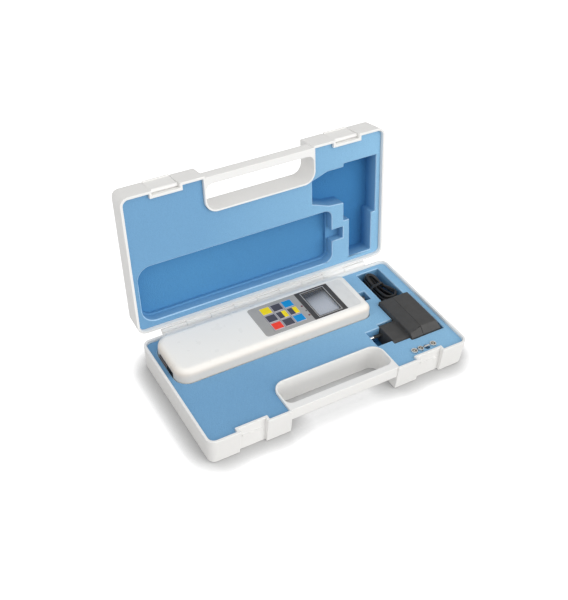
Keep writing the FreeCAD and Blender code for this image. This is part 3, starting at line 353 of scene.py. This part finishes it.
# The node's own triangles joined into plain faces, and a rounded edge wherever two of them meet sharply.
def roundEdges(node, body, width, s):
    piece = bpy.data.objects.new(node + "_rounded", nodes[node].data.copy())
    scene.collection.objects.link(piece)
    bpy.context.view_layer.objects.active = piece
    piece.select_set(True)
    bpy.ops.object.mode_set(mode="EDIT")
    bpy.ops.mesh.select_all(action="SELECT")
    bpy.ops.mesh.customdata_custom_splitnormals_clear()
    bpy.ops.mesh.remove_doubles(threshold=s["merge"])
    bpy.ops.mesh.dissolve_limited(angle_limit=math.radians(s["flatAngle"]))
    bpy.ops.object.mode_set(mode="OBJECT")
    piece.select_set(False)
    weighEdges(node, piece.data, s)
    bevel = piece.modifiers.new("edge", "BEVEL")
    bevel.width, bevel.segments = width * mm, s["segments"]
    bevel.limit_method = "WEIGHT"
    bevel.use_clamp_overlap = False
    bevel.harden_normals = True
    smooth(piece, s["smoothAngle"])
    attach(piece, body)
    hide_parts(node)
    return piece


rounded = {node: roundEdges(node, body, width, edgeSet) for node, body, width in edgeSet["pieces"]}
print("rounded edges done")

# Three small domes between the keys and the display. Places are in millimetres.
lampSet = {
    "lamps": [
        # name, slot, radius, places
        ("lamp_red", "key_red", 1.3, [(16.9, 39.7), (17.0, 23.6)]),
        ("lamp_grey", "key_grey", 0.95, [(17.5, 31.1)]),
    ],
    "height": 0.45,
    "sunk": 0.04,           # how far the rim lies in the panel
    "rings": 7, "aroundSteps": 20, "angle": 60,
}


# Each dome's height falls with the square of the distance from its middle, down into the panel.
def makeLamps(s):
    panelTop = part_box("keypad_panel")[1][2] / mm
    around = np.linspace(0, 2 * np.pi, s["aroundSteps"], endpoint=False)
    t, a = np.meshgrid(np.linspace(0, 1, s["rings"]), around, indexing="ij")
    height = panelTop + s["height"] * (1 - t ** 2) - s["sunk"]
    for name, slotName, radius, places in s["lamps"]:
        for number, (px, py) in enumerate(places):
            points = np.stack([px + radius * t * np.cos(a), py + radius * t * np.sin(a), height], -1)
            dome = gridMesh("%s_%d" % (name, number + 1), points * mm, closeV=True)
            smooth(dome, s["angle"])
            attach(dome, "gauge")
            yield dome, slotName


lamps = list(makeLamps(lampSet))
print("lamps done")


# A colour as it is seen on a screen, 0 to 255, as Blender's linear numbers.
def tone(r, g, b):
    v = [c / 255 for c in (r, g, b)]
    return tuple(c / 12.92 if c <= 0.04045 else ((c + 0.055) / 1.055) ** 2.4 for c in v) + (1.0,)


# A material with its node tree and a few ways to add to it.
class Finish:
    cloudRange = (0.35, 0.7)
    sheenRange = (0.3, 0.7)

    def __init__(self, name, colour, roughness=0.5, **more):
        self.material = bpy.data.materials.new(name)
        self.material.use_nodes = True
        self.tree = self.material.node_tree
        self.shader = self.tree.nodes["Principled BSDF"]
        self.shader.inputs["Base Color"].default_value = colour
        self.shader.inputs["Roughness"].default_value = roughness
        for key, value in more.items():
            self.shader.inputs[key].default_value = value
        self.colour = colour
        self.place = self.node("ShaderNodeTexCoord").outputs["Object"]
        self.lastNormal = None
        self.axes = None

    def node(self, kind, **values):
        made = self.tree.nodes.new(kind)
        for key, value in values.items():
            setattr(made, key, value)
        return made

    def link(self, source, target):
        self.tree.links.new(source, target)

    def math(self, operation, *values):
        made = self.node("ShaderNodeMath", operation=operation)
        for i, value in enumerate(values):
            if isinstance(value, (int, float)):
                made.inputs[i].default_value = value
            else:
                self.link(value, made.inputs[i])
        return made.outputs[0]

    def axis(self, number):
        if not self.axes:
            self.axes = self.node("ShaderNodeSeparateXYZ")
            self.link(self.place, self.axes.inputs[0])
        return self.axes.outputs[number]

    def noise(self, scale, detail=3, kind="ShaderNodeTexNoise"):
        made = self.node(kind)
        made.inputs["Scale"].default_value = scale
        if kind == "ShaderNodeTexNoise":
            made.inputs["Detail"].default_value = detail
        self.link(self.place, made.inputs["Vector"])
        return made

    def bump(self, height, strength, distance):
        made = self.node("ShaderNodeBump")
        made.inputs["Strength"].default_value = strength
        made.inputs["Distance"].default_value = distance
        self.link(height, made.inputs["Height"])
        if self.lastNormal:
            self.link(self.lastNormal, made.inputs["Normal"])
        self.lastNormal = made.outputs["Normal"]
        self.link(self.lastNormal, self.shader.inputs["Normal"])
        return self

    def spread(self, source, low, high, toLow, toHigh):
        made = self.node("ShaderNodeMapRange")
        self.link(source, made.inputs["Value"])
        for key, value in (("From Min", low), ("From Max", high), ("To Min", toLow), ("To Max", toHigh)):
            made.inputs[key].default_value = value
        return made.outputs["Result"]

    # Lays another colour over the present one by a factor.
    def over(self, factor, other, blend="MIX"):
        mix = self.node("ShaderNodeMix", data_type="RGBA", blend_type=blend)
        self.link(factor, mix.inputs["Factor"])
        if self.shader.inputs["Base Color"].is_linked:
            self.link(self.shader.inputs["Base Color"].links[0].from_socket, mix.inputs[6])
        else:
            mix.inputs[6].default_value = self.colour
        mix.inputs[7].default_value = other
        self.link(mix.outputs[2], self.shader.inputs["Base Color"])
        return self

    # Clouds of another colour: scale, colour as seen, strength.
    def mottle(self, scale, seen, amount, detail=4, blend="MIX"):
        cloud = self.spread(self.noise(scale, detail).outputs["Fac"], *self.cloudRange, 0, amount)
        return self.over(cloud, tone(*seen), blend)

    # Roughness that wanders between two values.
    def sheen(self, low, high, scale):
        cloud = self.spread(self.noise(scale, 4).outputs["Fac"], *self.sheenRange, low, high)
        self.link(cloud, self.shader.inputs["Roughness"])
        return self

    # A fine bump: strength, scale, depth.
    def grain(self, strength, scale, depth, detail=2):
        return self.bump(self.noise(scale, detail).outputs["Fac"], strength, depth)

    # How far a place is outside a rectangle in XY, below zero inside it.
    def outside(self, low, high):
        far = []
        for i in (0, 1):
            off = self.math("ABSOLUTE", self.math("SUBTRACT", self.axis(i), (low[i] + high[i]) / 2))
            far.append(self.math("SUBTRACT", off, (high[i] - low[i]) / 2))
        return self.math("MAXIMUM", *far)


# In these lists a cloud is scale, colour as seen and strength, a sheen is the lowest and highest roughness and
# a scale, and a grain is strength, scale and depth.
caseSet = {
    "colour": (241, 240, 238),
    "cloud": (14, (236, 235, 232), 0.6),
    "sheen": (0.36, 0.5, 90),
    "grain": (0.06, 2600, 0.3 * mm),
}


def casePlastic(s):
    f = Finish("case_white", tone(*s["colour"]))
    return f.mottle(*s["cloud"]).sheen(*s["sheen"]).grain(*s["grain"]).material


foamSet = {
    "face": (127, 175, 216),
    "roughness": 0.95,
    "depth": 25 * mm,
    "cut": [     # share of the depth under the face, colour: painted highlight on the rounded edges, painted shade deeper down
        (0.0, (118, 168, 207)), (0.002, (118, 168, 207)), (0.006, (181, 218, 245)), (0.045, (176, 214, 242)),
        (0.065, (124, 176, 215)), (0.28, (114, 167, 207)), (0.6, (78, 143, 193)), (1.0, (38, 117, 176)),
    ],
    "paintedLightRight": (147, 196, 229),       # painted light: the face's colour towards the right end
    "paintedLightRightFrom": -70 * mm, "paintedLightRightTo": 140 * mm,
    "faceFrom": 0.05 * mm, "faceTo": 0.2 * mm,
    "cloud": (9, (246, 247, 249), 0.6, 4, "MULTIPLY"),
    "speckle": (900, (240, 242, 245), 0.8, 2, "MULTIPLY"),
    "cellScale": 950, "cells": 0.45, "cellDepth": 0.5 * mm,
    "grain": (0.3, 2400, 0.3 * mm, 3),
}


# Painted highlight on the rounded edges round the pockets, painted shade as deeper blue further down in them,
# and painted light towards the right end of the face. inward points into the foam.
def foam(name, inward, piece, s):
    f = Finish(name, tone(*s["face"]), s["roughness"])
    face = depths(piece.data, inward)[1]
    along = f.node("ShaderNodeVectorMath", operation="DOT_PRODUCT")
    f.link(f.place, along.inputs[0])
    along.inputs[1].default_value = inward
    # Painted highlight on the edges and painted shade with depth, as a ramp over the depth under the face.
    ramp = f.node("ShaderNodeValToRGB")
    f.link(f.spread(along.outputs["Value"], face, face + s["depth"], 0, 1), ramp.inputs["Fac"])
    stops = ramp.color_ramp.elements
    for i, (place, colour) in enumerate(s["cut"]):
        stop = stops[i] if i < 2 else stops.new(place)
        stop.position, stop.color = place, tone(*colour)
    f.link(ramp.outputs["Color"], f.shader.inputs["Base Color"])
    # Painted light: the face turns paler towards its right end.
    right = f.spread(f.axis(0), s["paintedLightRightFrom"], s["paintedLightRightTo"], 0, 1)
    atFace = f.spread(along.outputs["Value"], face + s["faceFrom"], face + s["faceTo"], 1, 0)
    f.over(f.math("MULTIPLY", right, atFace), tone(*s["paintedLightRight"]))
    f.mottle(*s["cloud"]).mottle(*s["speckle"])
    cells = f.noise(s["cellScale"], kind="ShaderNodeTexVoronoi").outputs["Distance"]
    return f.bump(cells, s["cells"], s["cellDepth"]).grain(*s["grain"]).material


gaugeSet = {
    "colour": (249, 246, 240),
    "specular": 0.4,
    "cloud": (11, (246, 243, 238), 0.3),
    "sheen": (0.26, 0.34, 70),
    "side": (229, 223, 218),        # painted shade laid over the sides
    "sideShadeFrom": 0.6 * mm, "sideShadeFull": 5 * mm,       # below the top
    "grain": (0.03, 1800, 0.2 * mm),
}


def gaugePlastic(s):
    f = Finish("gauge_white", tone(*s["colour"]), **{"Specular IOR Level": s["specular"]})
    f.mottle(*s["cloud"]).sheen(*s["sheen"])
    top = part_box("gauge_front_shell")[1][2]
    # Painted shade: the sides are darker than the top, from just below it downwards.
    f.over(f.spread(f.axis(2), top - s["sideShadeFull"], top - s["sideShadeFrom"], 1, 0), tone(*s["side"]), "MULTIPLY")
    return f.grain(*s["grain"]).material


plainSet = {
    "cloudScale": 120, "cloudShare": 0.6,
    "sheenScale": 200, "smoother": 0.05, "rougher": 0.06, "smoothest": 0.05,
    "grain": 0.12, "grainScale": 1800, "grainDepth": 0.3 * mm,
}


def plain(name, seen, roughness, cloud=None, grain=plainSet["grain"], scale=plainSet["grainScale"], **more):
    s = plainSet
    f = Finish(name, tone(*seen), **more)
    if cloud:
        f.mottle(s["cloudScale"], cloud, s["cloudShare"])
    f.sheen(max(roughness - s["smoother"], s["smoothest"]), roughness + s["rougher"], s["sheenScale"])
    return f.grain(grain, scale, s["grainDepth"]).material


displaySet = {
    "bezel": (80, 75, 70), "bezelRoughness": 0.34,
    "bezelCloud": (200, (225, 225, 225), 0.8, 3, "MULTIPLY"),
    "bezelGrain": (0.15, 2400, 0.3 * mm),
    "line": (226, 223, 219),
    "lineFrom": 0.95 * mm, "lineWidth": 0.55 * mm, "lineEdge": 0.15 * mm,
    "glassLight": (208, 210, 215), "glassReflectionDark": (46, 49, 55), "glassRoughness": 0.25,
    "reflectionBackTo": 1.08, "reflectionBackPower": 3.6,       # the painted reflection's darkening from front to back
    "left": 0.3, "right": -0.15,            # and what it gains at the left and loses at the right
    "glassGrain": (0.03, 900, 0.2 * mm),
}


# A painted highlight: a thin pale line runs round the window at a small distance from it, where the edge of the
# sunk window catches the light.
def bezel(s):
    f = Finish("bezel_dark", tone(*s["bezel"]), s["bezelRoughness"])
    low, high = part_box("display_lens")
    away = f.outside(low, high)
    lineTo = s["lineFrom"] + s["lineWidth"]
    near = f.spread(away, s["lineFrom"], s["lineFrom"] + s["lineEdge"], 0, 1)
    past = f.spread(away, lineTo, lineTo + s["lineEdge"], 1, 0)
    # Painted highlight along the window's edge.
    f.over(f.math("MULTIPLY", near, past), tone(*s["line"]))
    return f.mottle(*s["bezelCloud"]).grain(*s["bezelGrain"]).material


# Painted reflection and shade: darker towards the back and the left, as the glass shows the lid there.
def displayGlass(s):
    f = Finish("display_grey", tone(*s["glassLight"]), s["glassRoughness"])
    low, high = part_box("display_lens")
    back = f.math("POWER", f.spread(f.axis(1), low[1], high[1], 0, s["reflectionBackTo"]), s["reflectionBackPower"])
    left = f.spread(f.axis(0), low[0], high[0], s["left"], s["right"])
    f.over(f.math("ADD", back, f.math("MULTIPLY", back, left)), tone(*s["glassReflectionDark"]))
    return f.grain(*s["glassGrain"]).material


keySet = {
    "border": 0.45 * mm, "edge": 0.1 * mm,
    "borderColour": (202, 196, 203),
    "yellow": (255, 227, 6), "grey": (80, 76, 84), "blue": (14, 148, 214), "red": (254, 68, 42),
    "slots": {"key_yellow": "yellow", "key_grey": "grey", "key_blue": "blue", "key_red": "red",
              "key_split": "grey"},
    "splitFrom": 0.08,      # share of the half width where the yellow field starts
    "roughness": 0.38,
    "cloud": (160, (246, 246, 246), 0.7, 3, "MULTIPLY"),
    "grain": (0.08, 2200, 0.2 * mm),
}


# One key's printed cap: a field with a thin pale border, and on a split key a second field on its right.
def keyCap(node, slotName, s):
    f = Finish(node + "_cap", tone(*s[s["slots"][slotName]]), s["roughness"])
    low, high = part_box(node)
    if slotName == "key_split":
        split = (low[0] + high[0]) / 2 + s["splitFrom"] * (high[0] - low[0]) / 2
        f.over(f.spread(f.axis(0), split, split + s["edge"], 0, 1), tone(*s["yellow"]))
    f.mottle(*s["cloud"])
    border = f.spread(f.outside(low, high), -s["border"] - s["edge"], -s["border"], 0, 1)
    return f.over(border, tone(*s["borderColour"])).grain(*s["grain"]).material


finishes = {
    "case_plastic": casePlastic(caseSet),
    "gauge_plastic": gaugePlastic(gaugeSet),
    "steel": plain("steel", (246, 245, 242), 0.26, Metallic=1.0),
    # The stud's steel is rougher, and darker as painted shade, as it sits low in the foam's notch.
    "stud": plain("stud_steel", (96, 95, 96), 0.5, Metallic=0.8),
    "dark_plastic": plain("dark_plastic", (30, 29, 29), 0.5, cloud=(38, 37, 36), **{"Specular IOR Level": 0.3}),
    "battery_can": plain("battery_can", (120, 130, 140), 0.35, Metallic=0.6),
    "board": plain("board_green", (24, 96, 58), 0.4, cloud=(18, 84, 50)),
    "display": displayGlass(displaySet),
    "lens": plain("lens_clear", (190, 192, 196), 0.08, grain=0.02, Alpha=0.08),
    "bezel": bezel(displaySet),
    "panel": plain("panel_grey", (174, 171, 167), 0.5, cloud=(166, 163, 159), grain=0.3, scale=900),
    "label": plain("label_light", (234, 232, 228), 0.5, cloud=(224, 222, 218), grain=0.3, scale=900),
    "aluminium": plain("aluminium", (205, 206, 208), 0.3, Metallic=1.0),
    "socket_grey": plain("socket_grey", (150, 138, 138), 0.45),
    "adapter_plastic": plain("adapter_black", (72, 71, 70), 0.55, cloud=(64, 63, 62), grain=0.2, scale=1400,
                             **{"Specular IOR Level": 0.35}),
    "winding": plain("winding_copper", (170, 110, 60), 0.35, Metallic=1.0),
    "cord": plain("cord_black", (34, 32, 32), 0.36),
    "key_grey": plain("key_grey", (70, 70, 78), 0.4),       # the lamps, as the keys have caps of their own
    "key_red": plain("key_red", (112, 30, 46), 0.3),
}
foams = {
    "base_foam": foam("foam_blue_base", edgeSet["into"]["base_foam"], rounded["base_foam"], foamSet),
    "lid_foam": foam("foam_blue_lid", edgeSet["into"]["lid_foam"], rounded["lid_foam"], foamSet),
}


def dress():
    for name, node in nodes.items():
        for place in node.material_slots:
            slotName = place.material.name
            if slotName in keySet["slots"]:
                place.material = keyCap(name, slotName, keySet)
            elif name in foams:
                place.material = foams[name]
            else:
                place.material = finishes["stud" if name == "measuring_shaft" else slotName]
    for name, piece in rounded.items():
        for place in piece.material_slots:
            place.material = nodes[name].material_slots[0].material
    for piece, finish in [(cord, "cord"), (tie, "cord")] + lamps:
        piece.data.materials.append(finishes[finish])


dress()
print("finishes done")

stageSet = {
    "floorSize": 6.0,
    "floorDrop": 0.2 * mm,
    "floorColour": 0.5,
    "floorRoughness": 0.9,
    "cameraLift": 1.05,     # light the floor sends to the camera, and to surfaces that mirror it
    "glossLift": 0.5,
    "contact": 0.029,       # reach of the deeper shadow under the object's edges
    "contactDepth": 4.3,
    "worldStrength": 0.62,
    "worldSeen": 1.0,
    "suns": [
        # towards the lamp, share of full light, softness in degrees, colour
        ((0.5, -0.85, 0.32), 0.42, 50, (1.0, 0.995, 0.985)),
        ((-0.8, -0.25, 0.45), 0.16, 60, (1.0, 1.0, 1.0)),
        ((-0.05, -0.62, 0.78), 0.15, 60, (1.0, 1.0, 1.0)),
    ],
}


def makeStage(s):
    half = s["floorSize"] / 2
    points = np.array([[[-half, -half, 0], [-half, half, 0]], [[half, -half, 0], [half, half, 0]]], float)
    points[..., 2] = -s["floorDrop"]
    floor = gridMesh("floor", points)
    floor.data.flip_normals()
    f = Finish("floor_pale", (s["floorColour"],) * 3 + (1.0,), s["floorRoughness"])
    f.shader.inputs["Specular IOR Level"].default_value = 0
    path = f.node("ShaderNodeLightPath")
    seen = f.math("ADD", f.math("MULTIPLY", path.outputs["Is Camera Ray"], s["cameraLift"]),
                  f.math("MULTIPLY", path.outputs["Is Glossy Ray"], s["glossLift"]))
    near = f.node("ShaderNodeAmbientOcclusion")
    near.inputs["Distance"].default_value = s["contact"]
    lift = f.math("MULTIPLY", seen, f.math("POWER", near.outputs["AO"], s["contactDepth"]))
    f.shader.inputs["Emission Color"].default_value = (1, 1, 1, 1)
    f.link(lift, f.shader.inputs["Emission Strength"])
    floor.data.materials.append(f.material)


def makeLights(s):
    world = bpy.data.worlds.new("studio")
    scene.world = world
    world.use_nodes = True
    tree = world.node_tree
    tree.nodes.clear()
    out = tree.nodes.new("ShaderNodeOutputWorld")
    path = tree.nodes.new("ShaderNodeLightPath")
    lit, seen = tree.nodes.new("ShaderNodeBackground"), tree.nodes.new("ShaderNodeBackground")
    for light, strength in ((lit, s["worldStrength"]), (seen, s["worldSeen"])):
        light.inputs["Color"].default_value, light.inputs["Strength"].default_value = (1, 1, 1, 1), strength
    either = tree.nodes.new("ShaderNodeMath")
    either.operation = "MAXIMUM"
    tree.links.new(path.outputs["Is Camera Ray"], either.inputs[0])
    tree.links.new(path.outputs["Is Transmission Ray"], either.inputs[1])
    mix = tree.nodes.new("ShaderNodeMixShader")
    tree.links.new(either.outputs[0], mix.inputs[0])
    tree.links.new(lit.outputs[0], mix.inputs[1])
    tree.links.new(seen.outputs[0], mix.inputs[2])
    tree.links.new(mix.outputs[0], out.inputs["Surface"])
    for i, (towards, share, softness, colour) in enumerate(s["suns"]):
        data = bpy.data.lights.new("sun%d" % i, "SUN")
        data.energy, data.angle, data.color = share * math.pi, math.radians(softness), colour
        lamp = bpy.data.objects.new("sun%d" % i, data)
        lamp.rotation_mode = "QUATERNION"
        lamp.rotation_quaternion = Vector(towards).to_track_quat("Z", "Y")
        scene.collection.objects.link(lamp)


makeStage(stageSet)
makeLights(stageSet)
print("stage done")
